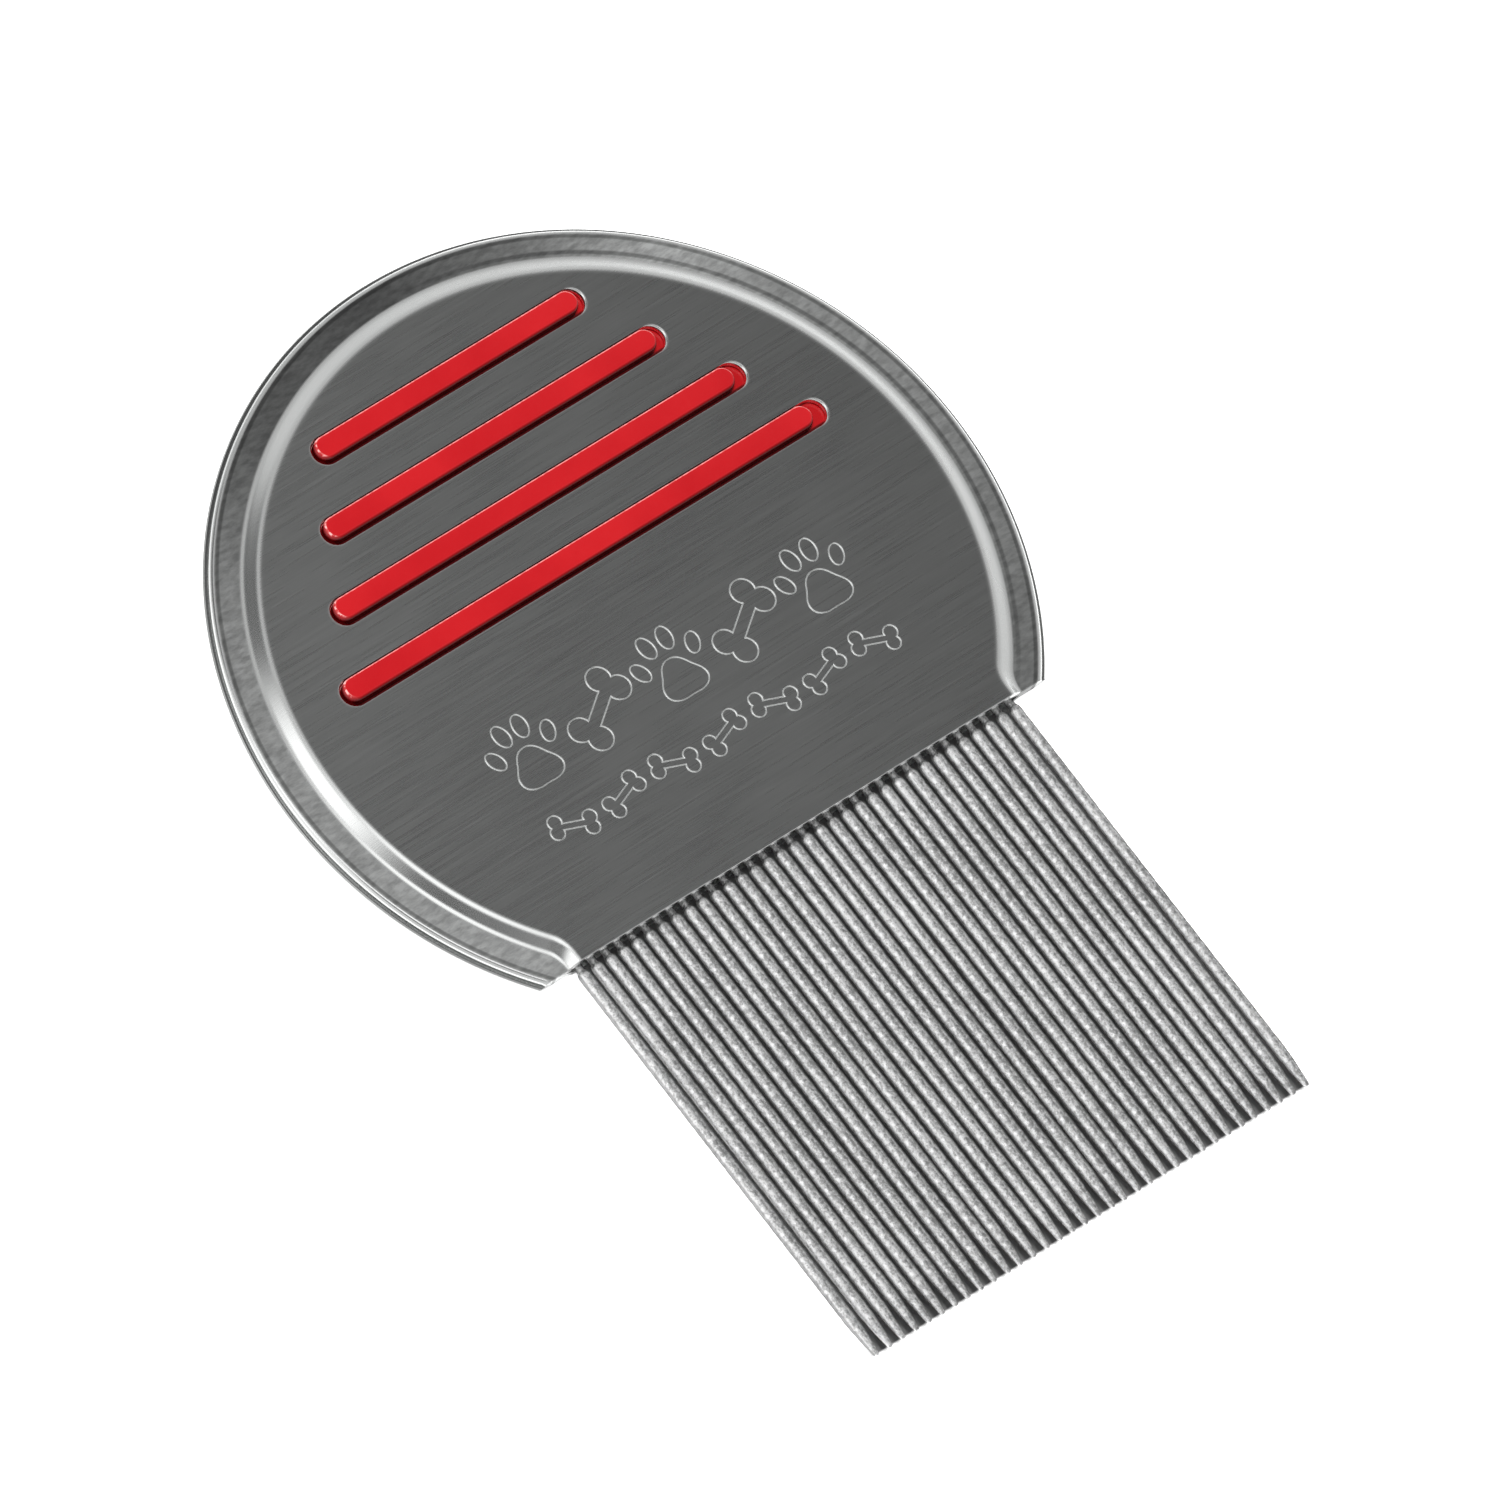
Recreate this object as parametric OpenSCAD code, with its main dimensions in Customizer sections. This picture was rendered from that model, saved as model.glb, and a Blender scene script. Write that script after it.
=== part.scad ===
// Steel-toothed flea comb with a round pressed-metal handle.
// Frame: X runs across the row of teeth, the teeth point along -Y, and the
// front of the handle faces +Z. The origin is the centre of the round handle
// on its flat back face. All lengths are in millimetres.

/* [Handle] */
// Diameter of the front handle shell
front_d = 65.5; // [64.9:0.1:66.1]
// Diameter of the back handle shell, which shows as a lip round the front one
back_d = 66.2; // [65.6:0.1:66.8]
// Thickness of the pressed steel sheet
sheet_t = 0.6; // [0.5:0.05:0.65]
// Radius of the raised flat face
face_r = 28.65; // [28.4:0.05:28.8]
// Height of the raised flat face above the seam between the shells
face_h = 1.27; // [1.22:0.01:1.32]
// Width of the sloping band between the raised face and the rim flange
slope_w = 1.9; // [1.7:0.05:2]
// Distance from the handle centre down to the straight mouth
mouth_drop = 21.45; // [21:0.05:21.6]
// Half width of the raised face at the mouth
mouth_half_w = 21.3; // [21.2:0.05:21.5]
// Width of the sloping band beside the mouth
mouth_slope_w = 1.45; // [1.3:0.05:1.6]

/* [Grip slots] */
// Half length of the slot nearest the teeth
slot_half_l = 23.95; // [23:0.05:24.2]
// How much shorter each half slot is than the one below it
slot_step = 3.55; // [3.2:0.05:3.7]
// Width of each slot
slot_w = 2.4; // [2.2:0.1:2.6]
// Height of the lowest slot above the handle centre
slot_y0 = 5.75; // [5.6:0.05:5.9]
// Distance from one slot to the next
slot_pitch = 5.8; // [5.6:0.05:5.9]

/* [Grip insert] */
// Side gap between a rib and its slot
rib_gap = 0.2; // [0.15:0.05:0.3]
// Height the front ribs stand above the front face
rib_proud = 0.2; // [0.1:0.05:0.3]
// Depth the back ribs sit below the back face
rib_sunk = 0.06; // [0.03:0.01:0.1]
// Thickness of the insert's hidden web
web_t = 1.2; // [1:0.05:1.25]

/* [Teeth] */
// Diameter of each tooth
tooth_d = 1.05; // [1.03:0.01:1.1]
// Distance from one tooth to the next
tooth_pitch = 1.303; // [1.29:0.001:1.306]
// Length of each tooth outside the mouth
tooth_l = 38; // [30:0.5:45]
// Length of the tapered end of each tooth
taper_l = 3.5; // [1.5:0.1:4]
// Diameter of the plain shank held inside the handle
shank_d = 0.7; // [0.6:0.05:0.75]

/* [Engraving] */
// Width of the engraved lines
line_w = 0.22; // [0.16:0.02:0.26]
// Depth of the engraved lines
line_depth = 0.09; // [0.05:0.01:0.15]

/* [Hidden] */
$fn = 96;
// Number of teeth in the row
tooth_n = 34;
// Number of slots in each shell
slot_n = 4;
// Steps in each bend of the sloping band
slope_steps = 4;
// Radius of the bend at the raised face and of the bend at the flange
bend_top = 1;
bend_low = 0.6;
// Steps in the rounded edge of the sheet
edge_steps = 5;
// Radius of the rounded outer edge of each shell
edge_r = 0.42;
// Width of the small bevel on the cut edge at the seam
seam_bevel = 0.1;
// Height where the bevel at the seam starts
seam_bevel_h = 0.12;
// Top of the mouth block, which lies inside the round raised face
mouth_block_top = -15;
// Distance that cutters pass beyond the faces they cut
cut_past = 1;
// Length and place of the hidden bar that holds the teeth
bar_l = 3.5;
bar_back = 7;
bar_half_w = 22.1;
bar_t = 2 * (face_h - sheet_t - 0.02);
// Depth of each socket in the bar
socket_depth = 2.6;
// Length of the shoulder between a tooth's body and its shank
shoulder_l = 0.45;
// Part of the shank that shows outside the mouth
neck_l = 0.45;
// Radius of the rounded tip of each tooth
tip_r = 0.24;
// Outline of the hidden web of the insert
web_r = 27.2;
web_y0 = 2.6;
// Shift of the ribs toward -X and the extra room at their +X ends
rib_end_gap = 0.25;
rib_room_0 = 0.5;
rib_room_step = 0.25;
// Radius of the soft long edges of the ribs, toward -Y and toward +Y
rib_round = 0.36;
rib_round_up = 0.16;
// Shift of the ribs toward +Y in their slots
rib_shift = 0.12;
// Colours of the metals and the plastic
steel = [0.42, 0.43, 0.43];
wire = [0.72, 0.72, 0.73];
red = [0.8, 0.13, 0.14];

// Slant of the straight part of the sloping band, which touches both bends.
function slant() =
  let (rise = bend_top + bend_low - (face_h - sheet_t),
    span = sqrt(slope_w * slope_w + rise * rise))
  asin((bend_top + bend_low) / span) - atan2(rise, slope_w);

// Points of the sloping band from the raised face outwards, lowered by down:
// a bend, a straight slant and the reverse bend down to the flange.
function slope_pts(from, down) = concat(
  [for (i = [0:slope_steps])
    let (a = slant() * i / slope_steps)
    [from + bend_top * sin(a), face_h - down - bend_top * (1 - cos(a))]],
  [for (i = [slope_steps:-1:0])
    let (a = slant() * i / slope_steps)
    [from + slope_w - bend_low * sin(a),
      sheet_t - down + bend_low * (1 - cos(a))]]);

// Points of the rounded outer edge of a shell of radius r, ending at the seam.
function edge_pts(r) = concat(
  [for (i = [0:edge_steps])
    let (a = 90 - 90 * i / edge_steps)
    [r - edge_r + edge_r * cos(a), sheet_t - edge_r + edge_r * sin(a)]],
  [[r, seam_bevel_h], [r - seam_bevel, 0]]);

// Points of an arc about (cx, cy).
function arc_pts(cx, cy, r, a0, a1, n) =
  [for (i = [0:n])
    let (a = a0 + (a1 - a0) * i / n)
    [cx + r * cos(a), cy + r * sin(a)]];

// Points of a straight bar with round ends, from x0 to x1 and w wide.
function stadium_pts(x0, x1, w, n) = concat(
  arc_pts(x1 - w / 2, 0, w / 2, -90, 90, n),
  arc_pts(x0 + w / 2, 0, w / 2, 90, 270, n));

function slot_l(i) = slot_half_l - slot_step * i;
function slot_y(i) = slot_y0 + slot_pitch * i;
function tooth_x(k) = (k - (tooth_n + 1) / 2) * tooth_pitch;

// Solid below the round pressed skin, out to the rounded edge.
module round_form(r) {
  rotate_extrude()
    polygon(concat([[0, 0], [0, face_h]], slope_pts(face_r, 0), edge_pts(r)));
}

// Space under the round pressed skin.
module round_hollow() {
  rotate_extrude()
    polygon(concat([[0, -cut_past], [0, face_h - sheet_t]],
      slope_pts(face_r, sheet_t), [[face_r + slope_w, -cut_past]]));
}

// Half of the section across the mouth, where the face runs parallel to the teeth.
function mouth_side_pts(down) =
  [for (p = slope_pts(0, down))
    [mouth_half_w + p[0] * mouth_slope_w / slope_w, p[1]]];

// Straight block that carries the raised face down to the mouth.
module mouth_form(y0, down, base) {
  side = mouth_side_pts(down);
  n = len(side);
  translate([0, mouth_block_top, 0])
    rotate([90, 0, 0])
      linear_extrude(height = mouth_block_top - y0)
        polygon(concat(
          [for (i = [0:n - 1]) side[i]],
          [[side[n - 1][0], base], [-side[n - 1][0], base]],
          [for (i = [n - 1:-1:0]) [-side[i][0], side[i][1]]]));
}

module slots() {
  for (i = [0:slot_n - 1])
    translate([0, slot_y(i), -cut_past])
      linear_extrude(height = face_h + 2 * cut_past)
        polygon(stadium_pts(-slot_l(i), slot_l(i), slot_w, 16));
}

// One pressed shell: raised face, sloping band, flange and rounded edge.
module shell_form(d) {
  difference() {
    union() {
      round_form(d / 2);
      mouth_form(-mouth_drop - cut_past, 0, 0);
    }
    round_hollow();
    mouth_form(-mouth_drop - 2 * cut_past, sheet_t, -cut_past);
    translate([-d, -mouth_drop - d, -cut_past])
      cube([2 * d, d, face_h + 2 * cut_past]);
    slots();
  }
}

// Engraved closed line that follows an ellipse.
module ring_line(rx, ry, n) {
  difference() {
    polygon([for (i = [0:n - 1]) let (a = 360 * i / n)
      [rx * cos(a), ry * sin(a)]]);
    polygon([for (i = [0:n - 1]) let (a = 360 * i / n)
      [(rx - line_w) * cos(a), (ry - line_w) * sin(a)]]);
  }
}

// Radius of a rounded three-cornered pad in the direction a.
function pad_r(a, r) = r * (1 + 0.13 * cos(3 * (a - 90)));

// Engraved outline of a paw print, h high.
module paw_line(h) {
  k = h / 6.4;
  n = 24;
  translate([0, -1.35 * k])
    difference() {
      polygon([for (i = [0:n - 1]) let (a = 360 * i / n)
        [1.12 * pad_r(a, 1.75 * k) * cos(a), pad_r(a, 1.75 * k) * sin(a)]]);
      polygon([for (i = [0:n - 1]) let (a = 360 * i / n)
        [(1.12 * pad_r(a, 1.75 * k) - line_w) * cos(a),
          (pad_r(a, 1.75 * k) - line_w) * sin(a)]]);
    }
  for (s = [-1, 1]) {
    translate([s * 0.88 * k, 2.05 * k])
      rotate(-s * 8)
        ring_line(0.72 * k, 1.08 * k, 14);
    translate([s * 2.5 * k, 0.65 * k])
      rotate(-s * 24)
        ring_line(0.68 * k, 1.0 * k, 14);
  }
}

// Outline points of a bone with its end knobs at (+-l, +-s).
function bone_pts(l, s, r, b, n) =
  let (a0 = -asin(s / r), a1 = 180 + asin((s - b) / r))
  concat(
    arc_pts(l, s, r, a0, a1, n),
    arc_pts(-l, s, r, 180 - a1, 180 - a0, n),
    arc_pts(-l, -s, r, 180 + a0, 180 + a1, n),
    arc_pts(l, -s, r, -a1, -a0, n));

// Engraved outline of a bone, w wide. The knobs stay close enough together for
// the inner side of the line to keep a closed outline.
module bone_line(w, n) {
  k = w / 7;
  r = 1.15 * k;
  s = min(0.82 * k, 0.9 * (r - line_w));
  difference() {
    polygon(bone_pts(2.35 * k, s, r, 0.62 * k, n));
    polygon(bone_pts(2.35 * k, s, r - line_w, 0.62 * k - line_w, n));
  }
}

// Two rows of engraved paw prints and bones on the front face.
module engraving() {
  translate([0, 0, face_h - line_depth])
    linear_extrude(height = cut_past) {
      for (x = [-14.4, 0, 14.4])
        translate([x, -5.4]) paw_line(6.6);
      for (x = [-7.2, 7.2])
        translate([x, -5.4]) rotate(35) bone_line(7, 9);
      for (i = [-3:3])
        translate([i * 5, -12.1]) rotate(i % 2 == 0 ? 20 : -20) bone_line(4.3, 6);
    }
}

module front_shell() {
  color(steel)
    translate([0, 0, face_h])
      difference() {
        shell_form(front_d);
        engraving();
      }
}

module back_shell() {
  color(steel)
    translate([0, 0, face_h])
      mirror([0, 0, 1])
        shell_form(back_d);
}

// Section of a rib across its width, from z0 up to a soft edged top at z1.
function rib_section(w, z0, z1) = concat(
  [[-w / 2, z0], [w / 2, z0]],
  arc_pts(w / 2 - rib_round_up, z1 - rib_round_up, rib_round_up, 0, 90, 5),
  arc_pts(-w / 2 + rib_round, z1 - rib_round, rib_round, 90, 180, 5));

// One rib with round ends, standing to height top above the seam.
module rib(i, top) {
  w = slot_w - 2 * rib_gap;
  x0 = -slot_l(i) + rib_end_gap;
  x1 = slot_l(i) - rib_room_0 - rib_room_step * (slot_n - 1 - i);
  translate([0, slot_y(i) + rib_shift, 0])
    intersection() {
      linear_extrude(height = top + cut_past)
        polygon(stadium_pts(x0, x1, w, 12));
      translate([x0 - cut_past, 0, 0])
        rotate([90, 0, 90])
          linear_extrude(height = x1 - x0 + 2 * cut_past)
            polygon(rib_section(w + 0.02, 0.1, top));
    }
}

// Moulded insert: one web between the shells with ribs on both sides.
module grip_insert() {
  color(red)
    translate([0, 0, face_h])
      union() {
        intersection() {
          translate([0, 0, -web_t / 2]) cylinder(r = web_r, h = web_t);
          translate([-web_r, web_y0, -web_t]) cube([2 * web_r, web_r, 2 * web_t]);
        }
        for (i = [0:slot_n - 1]) {
          rib(i, face_h + rib_proud);
          mirror([0, 0, 1]) rib(i, face_h - rib_sunk);
        }
      }
}

// Bar hidden inside the mouth, with one blind socket for each tooth.
module tooth_bar() {
  y0 = -mouth_drop + bar_back - bar_l;
  color(wire)
    translate([0, 0, face_h])
      difference() {
        translate([-bar_half_w, y0, -bar_t / 2])
          cube([2 * bar_half_w, bar_l, bar_t]);
        for (k = [1:tooth_n])
          translate([tooth_x(k), y0 - cut_past, 0])
            rotate([-90, 0, 0])
              cylinder(d = shank_d, h = socket_depth + cut_past);
      }
}

// One tooth: plain shank, shoulder, straight body, taper and round tip.
module tooth(k) {
  r = tooth_d / 2;
  tip_y = tooth_l;
  root_y = -(bar_back - bar_l) - socket_depth;
  color(wire)
    translate([tooth_x(k), -mouth_drop, face_h])
      rotate([90, 0, 0])
        rotate_extrude()
          polygon(concat(
            [[0, root_y], [shank_d / 2, root_y], [shank_d / 2, neck_l],
              [r, neck_l + shoulder_l], [r, tip_y - taper_l]],
            [for (i = [0:4]) let (a = 90 * i / 4)
              [i == 4 ? 0 : tip_r * cos(a), tip_y - tip_r + tip_r * sin(a)]]));
}

front_shell();
back_shell();
grip_insert();
tooth_bar();
tooth(1);  // tooth_01
tooth(2);  // tooth_02
tooth(3);  // tooth_03
tooth(4);  // tooth_04
tooth(5);  // tooth_05
tooth(6);  // tooth_06
tooth(7);  // tooth_07
tooth(8);  // tooth_08
tooth(9);  // tooth_09
tooth(10);  // tooth_10
tooth(11);  // tooth_11
tooth(12);  // tooth_12
tooth(13);  // tooth_13
tooth(14);  // tooth_14
tooth(15);  // tooth_15
tooth(16);  // tooth_16
tooth(17);  // tooth_17
tooth(18);  // tooth_18
tooth(19);  // tooth_19
tooth(20);  // tooth_20
tooth(21);  // tooth_21
tooth(22);  // tooth_22
tooth(23);  // tooth_23
tooth(24);  // tooth_24
tooth(25);  // tooth_25
tooth(26);  // tooth_26
tooth(27);  // tooth_27
tooth(28);  // tooth_28
tooth(29);  // tooth_29
tooth(30);  // tooth_30
tooth(31);  // tooth_31
tooth(32);  // tooth_32
tooth(33);  // tooth_33
tooth(34);  // tooth_34
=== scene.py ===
import math
import random

import bmesh
import bpy
import numpy as np
from mathutils import Matrix, Vector
from mathutils.geometry import delaunay_2d_cdt


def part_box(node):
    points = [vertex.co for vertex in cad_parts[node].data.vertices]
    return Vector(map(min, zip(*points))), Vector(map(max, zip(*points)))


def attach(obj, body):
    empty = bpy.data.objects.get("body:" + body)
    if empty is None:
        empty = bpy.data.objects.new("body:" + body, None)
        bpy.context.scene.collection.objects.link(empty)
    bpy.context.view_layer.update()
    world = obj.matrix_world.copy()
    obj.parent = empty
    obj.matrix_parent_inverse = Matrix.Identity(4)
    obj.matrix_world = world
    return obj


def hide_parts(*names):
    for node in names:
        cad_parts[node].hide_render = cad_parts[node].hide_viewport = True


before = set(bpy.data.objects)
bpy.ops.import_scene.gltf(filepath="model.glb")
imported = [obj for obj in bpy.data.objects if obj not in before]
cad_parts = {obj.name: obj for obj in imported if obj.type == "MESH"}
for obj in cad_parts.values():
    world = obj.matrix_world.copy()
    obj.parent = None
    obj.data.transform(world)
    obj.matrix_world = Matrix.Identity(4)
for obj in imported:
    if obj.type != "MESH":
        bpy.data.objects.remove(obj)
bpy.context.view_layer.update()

# ---------------------------------------------------------------- sizes, in mm
MM = 0.001
UM = 0.000001            # one micron in metres
SEAM_Z = 1.27            # height of the seam between the shells in the row frame
FACE_R = 28.65           # radius of the raised face
FACE_H = 1.27            # height of the raised face above the seam
SHEET = 0.6              # sheet thickness
SLOPE = 1.9              # width of the sloping band
MOUTH_SLOPE = 1.45       # its width beside the mouth
BEND_TOP = 1.5           # radius of the bend at the raised face
BEND_LOW = 1.25          # radius of the bend at the flange
MOUTH_Y = -21.45         # the straight mouth
MOUTH_X = 21.3           # half width of the raised face at the mouth
MOUTH_TOP = -12.0        # where the straight-sided part beside the mouth ends
MOUTH_BLEND = 0.9        # rounding where that part meets the round face
CHAMFER = 0.07           # along the cut edges of the mouth
EDGE_R = 0.42            # rounding of the rim edge
SEAM_H = 0.12            # where the small bevel at the seam starts
SEAM_BEVEL = 0.1
FACE_INSET = 0.35        # outermost row of points on the flat face, inside its edge
RIM_TURNS = (0, 10, 22, 34, 46, 58, 70, 80, 90)     # degrees of the rounded rim edge
SLOT_W = 2.4
SLOT_HALF, SLOT_STEP = 23.95, 3.55      # half length of the lowest slot, less per slot above
SLOT_Y, SLOT_PITCH = 5.75, 5.8          # height of the lowest slot, distance to the next
SLOTS = [(SLOT_HALF - SLOT_STEP * i, SLOT_Y + SLOT_PITCH * i) for i in range(4)]
LINE_W = 0.22            # width of an engraved line
LINE_DEPTH = 0.09
TEETH = 34
PITCH = 1.303
TOOTH_R = 0.525
TOOTH_L = 38.0
TAPER = 3.5
TIP_R = 0.24
SHANK_R = 0.35
GROOVE = 0.02            # depth of the spiral groove rolled into each tooth
SPIRAL = 1.84            # length of one turn of that groove
SPIRAL_STEP = 0.152      # part of a turn gained from one tooth to the next
NECK_L = 0.45
SHOULDER_L = 0.45
SHANK_IN = 6.1           # length of shank held behind the mouth
WELD = 1e-7              # outline points closer than this count as one


def half_x(node):
    lo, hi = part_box(node)
    return (hi.x - lo.x) / 2 / MM


# ------------------------------------------------------------ mesh assembling
class Build:
    """Collects vertices in mm and faces, then makes one mesh object."""

    def __init__(self):
        self.co, self.faces = [], []

    def add(self, pts):
        start = len(self.co)
        self.co.extend([tuple(map(float, p)) for p in pts])
        return list(range(start, start + len(pts)))

    def strip(self, a, b, closed=False):
        n = len(a)
        for i in range(n if closed else n - 1):
            j = (i + 1) % n
            self.faces.append((a[i], a[j], b[j], b[i]))

    def fill(self, loops, inside, flat=(0, 1)):
        """Triangles between closed loops of vertex ids, kept where inside(x, y) is true."""
        ids = [v for loop in loops for v in loop]
        pts = [Vector((self.co[v][flat[0]], self.co[v][flat[1]])) for v in ids]
        edges, k = [], 0
        for loop in loops:
            n = len(loop)
            edges += [(k + i, k + (i + 1) % n) for i in range(n)]
            k += n
        out = delaunay_2d_cdt(pts, edges, [], 0, WELD, True)
        verts, tris, orig = out[0], out[2], out[3]
        back = [o[0] if o else None for o in orig]
        for t in tris:
            if any(back[v] is None for v in t):
                continue
            c = sum((verts[v] for v in t), Vector((0, 0))) / 3
            if inside(c.x, c.y):
                self.faces.append(tuple(ids[back[v]] for v in t))

    def make(self, name, sharp=30.0, mirror_z=False, z0=0.0):
        co = np.array(self.co)
        if mirror_z:
            co[:, 2] *= -1
        co[:, 2] += z0
        mesh = bpy.data.meshes.new(name)
        mesh.from_pydata((co * MM).tolist(), [], self.faces)
        bm = bmesh.new()
        bm.from_mesh(mesh)
        bmesh.ops.recalc_face_normals(bm, faces=bm.faces)
        bm.to_mesh(mesh)
        bm.free()
        mesh.shade_smooth()
        mesh.set_sharp_from_angle(angle=math.radians(sharp))
        obj = bpy.data.objects.new(name, mesh)
        bpy.context.scene.collection.objects.link(obj)
        return obj


def stadium(x0, x1, y, w, grow=0.0, n=18):
    """Closed outline of a round-ended bar, grown outwards."""
    r = w / 2 + grow
    pts = []
    for cx, a0 in ((x1 - w / 2, -90), (x0 + w / 2, 90)):
        for i in range(n + 1):
            a = math.radians(a0 + 180 * i / n)
            pts.append((cx + r * math.cos(a), y + r * math.sin(a)))
    return pts


def in_polygon(x, y, poly):
    inside = False
    x1, y1 = poly[-1]
    for x2, y2 in poly:
        if (y1 > y) != (y2 > y) and x < (x2 - x1) * (y - y1) / (y2 - y1) + x1:
            inside = not inside
        x1, y1 = x2, y2
    return inside


# -------------------------------------------------------------- pressed shells
def face_distance(x, y):
    """Distance outwards from the edge of the raised face, blended near the mouth."""
    a = np.hypot(x, y) - FACE_R
    b = np.maximum((np.abs(x) - MOUTH_X) * SLOPE / MOUTH_SLOPE, y - MOUTH_TOP)
    h = np.maximum(MOUTH_BLEND - np.abs(a - b), 0) / MOUTH_BLEND
    return np.minimum(a, b) - h * h * MOUTH_BLEND / 4


def slant_angle():
    """Angle of the straight slant that touches both bends."""
    rise = BEND_TOP + BEND_LOW - (FACE_H - SHEET)
    return math.asin((BEND_TOP + BEND_LOW) / math.hypot(SLOPE, rise)) - math.atan2(rise, SLOPE)


SLANT = slant_angle()


def skin(d):
    """Height of the pressed skin: a bend, a straight slant and a reverse bend."""
    d = np.clip(d, 0, SLOPE)
    top = FACE_H - BEND_TOP + np.sqrt(np.maximum(BEND_TOP ** 2 - d * d, 0))
    low = SHEET + BEND_LOW - np.sqrt(np.maximum(BEND_LOW ** 2 - (SLOPE - d) ** 2, 0))
    first, last = BEND_TOP * math.sin(SLANT), SLOPE - BEND_LOW * math.sin(SLANT)
    line = FACE_H - BEND_TOP * (1 - math.cos(SLANT)) - (d - first) * math.tan(SLANT)
    return np.where(d < first, top, np.where(d > last, low, line))


def slope_levels(bends, straight):
    """Distances across the sloping band: steps in each bend and steps on the slant."""
    a = [BEND_TOP * math.sin(SLANT * i / bends) for i in range(bends + 1)]
    c = [SLOPE - BEND_LOW * math.sin(SLANT * i / bends) for i in range(bends, -1, -1)]
    b = [a[-1] + (c[0] - a[-1]) * i / straight for i in range(1, straight)]
    return a + b + c


def bisect(f, lo, hi, steps=48):
    """Where the rising function f crosses zero between lo and hi."""
    lo, hi = np.array(lo, float), np.array(hi, float)
    for _ in range(steps):
        mid = (lo + hi) / 2
        up = f(mid) < 0
        lo, hi = np.where(up, mid, lo), np.where(up, hi, mid)
    return (lo + hi) / 2


def level_radius(phi, level):
    """Radius at which the direction phi is level mm outside the raised face."""
    phi = np.asarray(phi, float)
    nearest, farthest = np.full(phi.shape, 15.0), np.full(phi.shape, 45.0)
    return bisect(lambda r: face_distance(r * np.cos(phi), r * np.sin(phi)) - level,
                  nearest, farthest)


# steps along half an outline row, as parts of its length: closer together at both ends
COLS = np.concatenate([np.linspace(0, 0.045, 22)[:-1], np.linspace(0.045, 0.955, 260)[:-1],
                       np.linspace(0.955, 1, 22)])


def outline_row(radius_at):
    """One open row of points from the right end of the mouth round the handle to its left end."""
    y0 = MOUTH_Y + CHAMFER
    # the direction of the right end of the mouth, in radians
    end = bisect(lambda p: radius_at(p) * np.sin(p) - y0, [-1.2], [-0.2])[0]
    phi = end + (math.pi - 2 * end) * COLS
    r = radius_at(phi)
    x, y = r * np.cos(phi), r * np.sin(phi)
    y[0] = y[-1] = y0
    return (np.concatenate([[x[0]], x, [x[-1]]]),
            np.concatenate([[MOUTH_Y], y, [MOUTH_Y]]))


# reach beyond the slot wall and depth below the face, round the top edge of a slot
SLOT_EDGE = [(0.22, 0), (0.13, 0), (0.085, 0.010), (0.045, 0.032), (0.015, 0.068), (0.0, 0.12)]


def slot_edge_size(nx):
    """Scale of that edge where the outline faces nx: least along the sides, most at +X."""
    return 0.7 + 1.4 * max(nx, 0) + 0.7 * max(-nx, 0)


def slot_rings(b, half, y):
    """A rounded top edge, wider toward the ends, a straight cut wall and a small round below."""
    wall = stadium(-half, half, y, SLOT_W, 0)
    wide = stadium(-half, half, y, SLOT_W, 1)
    loops = []
    for reach, depth in SLOT_EDGE:
        pts = []
        for (px, py), (qx, qy) in zip(wall, wide):
            size = slot_edge_size(qx - px)
            pts.append((px + (qx - px) * reach * size, py + (qy - py) * reach * size,
                        FACE_H - depth * size))
        loops.append(b.add(pts))
    for grow, z in ((0, FACE_H - SHEET + 0.05), (0.05, FACE_H - SHEET)):
        loops.append(b.add([(px, py, z) for px, py in stadium(-half, half, y, SLOT_W, grow)]))
    for a, c in zip(loops[:-1], loops[1:]):
        b.strip(a, c, closed=True)
    return loops[0], loops[-1]


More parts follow.
